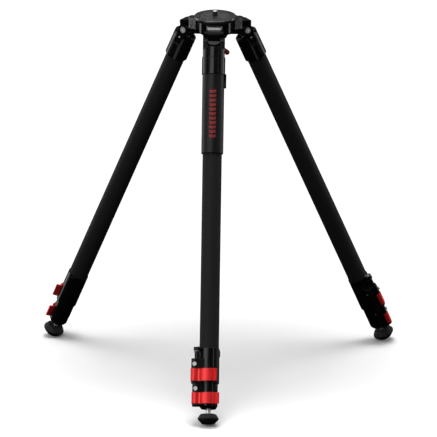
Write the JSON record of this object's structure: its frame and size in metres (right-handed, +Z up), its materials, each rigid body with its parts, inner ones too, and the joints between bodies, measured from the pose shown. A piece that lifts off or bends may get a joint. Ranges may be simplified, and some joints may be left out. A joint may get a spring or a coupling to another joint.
{
  "type": "tripod",
  "caption": "Carbon-fibre tripod with spread hinged legs that telescope, red flip levers, angle latches, a round head plate with a threaded stud, and round rubber feet.",
  "frame": {"origin": "centre of the top plate's face, where the head stud leaves it", "axes": "+Z up along the head stud and the tripod's axis; the leg with the grip points along -Y, the other two along 30 and 150 degrees from +X"},
  "size_m": [0.6574, 0.5821, 0.6976],
  "materials": {
    "casting": "satin black",
    "plate": "anodised, fine turned grooves",
    "carbon": "woven carbon fibre, satin",
    "steel": "satin",
    "chrome": "polished",
    "red_anodised": "red anodised",
    "red_plastic": "glossy",
    "rubber": "matt",
    "foam": "closed-cell foam, matt",
    "bush": "natural nylon",
    "stop": "bare, satin"
  },
  "bodies": {
    "hub": {"hub_casting": "casting", "top_plate": "plate", "plate_set_screws": "steel", "head_stud": "steel", "hub_cap": "casting", "hinge_bolts": "chrome", "hinge_washers": "bush", "stop_blocks": "stop"},
    "release": {"clamp_spindle": "steel", "release_lever": "casting", "release_knob": "red_plastic"},
    "front_leg": {"front_yoke": "casting", "front_upper_tube": "carbon", "front_upper_clamp": "casting", "front_leg_fasteners": "steel", "front_grip_sleeve": "foam"},
    "front_latch": {"front_angle_latch": "casting"},
    "front_upper_flip": {"front_upper_lever": "red_anodised"},
    "front_middle": {"front_middle_tube": "carbon", "front_middle_bush": "bush", "front_lower_clamp": "casting", "front_lower_fasteners": "steel"},
    "front_lower_flip": {"front_lower_lever": "red_anodised"},
    "front_lower": {"front_lower_tube": "carbon", "front_lower_bush": "bush", "front_foot_plug": "casting", "front_foot_stem": "chrome", "front_rubber_foot": "rubber"},
    "right_leg": {"right_yoke": "casting", "right_upper_tube": "carbon", "right_upper_clamp": "casting", "right_leg_fasteners": "steel"},
    "right_latch": {"right_angle_latch": "casting"},
    "right_upper_flip": {"right_upper_lever": "red_anodised"},
    "right_middle": {"right_middle_tube": "carbon", "right_middle_bush": "bush", "right_lower_clamp": "casting", "right_lower_fasteners": "steel"},
    "right_lower_flip": {"right_lower_lever": "red_anodised"},
    "right_lower": {"right_lower_tube": "carbon", "right_lower_bush": "bush", "right_foot_plug": "casting", "right_foot_stem": "chrome", "right_rubber_foot": "rubber"},
    "left_leg": {"left_yoke": "casting", "left_upper_tube": "carbon", "left_upper_clamp": "casting", "left_leg_fasteners": "steel"},
    "left_latch": {"left_angle_latch": "casting"},
    "left_upper_flip": {"left_upper_lever": "red_anodised"},
    "left_middle": {"left_middle_tube": "carbon", "left_middle_bush": "bush", "left_lower_clamp": "casting", "left_lower_fasteners": "steel"},
    "left_lower_flip": {"left_lower_lever": "red_anodised"},
    "left_lower": {"left_lower_tube": "carbon", "left_lower_bush": "bush", "left_foot_plug": "casting", "left_foot_stem": "chrome", "left_rubber_foot": "rubber"}
  },
  "joints": [
    {"name": "release_lever_swing", "type": "hinge", "parent": "hub", "child": "release", "pos_m": [0, 0, -0.05], "axis": [0, 0, 1], "range_deg": [0, 120]},
    {"name": "front_leg_spread", "type": "hinge", "parent": "hub", "child": "front_leg", "pos_m": [0, -0.059, -0.0324], "axis": [-1, 0, 0], "range_deg": [-25, 0]},
    {"name": "front_latch_pull", "type": "slide", "parent": "front_leg", "child": "front_latch", "axis": [0, -1, 0], "range_m": [0, 0.005], "stiffness_N_per_m": 300, "springref_m": -0.003},
    {"name": "front_upper_lever_flip", "type": "hinge", "parent": "front_leg", "child": "front_upper_flip", "pos_m": [-0.0263, -0.33443, -0.59468], "axis": [0, -0.4226, -0.9063], "range_deg": [0, 120]},
    {"name": "front_middle_slide", "type": "slide", "parent": "front_leg", "child": "front_middle", "axis": [0, -0.4226, -0.9063], "range_m": [0, 0.515]},
    {"name": "front_lower_lever_flip", "type": "hinge", "parent": "front_middle", "child": "front_lower_flip", "pos_m": [-0.024, -0.35052, -0.63462], "axis": [0, -0.4226, -0.9063], "range_deg": [0, 120]},
    {"name": "front_lower_slide", "type": "slide", "parent": "front_middle", "child": "front_lower", "axis": [0, -0.4226, -0.9063], "range_m": [0, 0.525]},
    {"name": "right_leg_spread", "type": "hinge", "parent": "hub", "child": "right_leg", "pos_m": [0.0511, 0.0295, -0.0324], "axis": [0.5, -0.866, 0], "range_deg": [-25, 0]},
    {"name": "right_latch_pull", "type": "slide", "parent": "right_leg", "child": "right_latch", "axis": [0.866, 0.5, 0], "range_m": [0, 0.005], "stiffness_N_per_m": 300, "springref_m": -0.003},
    {"name": "right_upper_lever_flip", "type": "hinge", "parent": "right_leg", "child": "right_upper_flip", "pos_m": [0.30278, 0.14444, -0.59468], "axis": [0.366, 0.2113, -0.9063], "range_deg": [0, 120]},
    {"name": "right_middle_slide", "type": "slide", "parent": "right_leg", "child": "right_middle", "axis": [0.366, 0.2113, -0.9063], "range_m": [0, 0.515]},
    {"name": "right_lower_lever_flip", "type": "hinge", "parent": "right_middle", "child": "right_lower_flip", "pos_m": [0.31556, 0.15448, -0.63462], "axis": [0.366, 0.2113, -0.9063], "range_deg": [0, 120]},
    {"name": "right_lower_slide", "type": "slide", "parent": "right_middle", "child": "right_lower", "axis": [0.366, 0.2113, -0.9063], "range_m": [0, 0.525]},
    {"name": "left_leg_spread", "type": "hinge", "parent": "hub", "child": "left_leg", "pos_m": [-0.0511, 0.0295, -0.0324], "axis": [0.5, 0.866, 0], "range_deg": [-25, 0]},
    {"name": "left_latch_pull", "type": "slide", "parent": "left_leg", "child": "left_latch", "axis": [-0.866, 0.5, 0], "range_m": [0, 0.005], "stiffness_N_per_m": 300, "springref_m": -0.003},
    {"name": "left_upper_lever_flip", "type": "hinge", "parent": "left_leg", "child": "left_upper_flip", "pos_m": [-0.27648, 0.18999, -0.59468], "axis": [-0.366, 0.2113, -0.9063], "range_deg": [0, 120]},
    {"name": "left_middle_slide", "type": "slide", "parent": "left_leg", "child": "left_middle", "axis": [-0.366, 0.2113, -0.9063], "range_m": [0, 0.515]},
    {"name": "left_lower_lever_flip", "type": "hinge", "parent": "left_middle", "child": "left_lower_flip", "pos_m": [-0.29156, 0.19605, -0.63462], "axis": [-0.366, 0.2113, -0.9063], "range_deg": [0, 120]},
    {"name": "left_lower_slide", "type": "slide", "parent": "left_middle", "child": "left_lower", "axis": [-0.366, 0.2113, -0.9063], "range_m": [0, 0.525]}
  ]
}
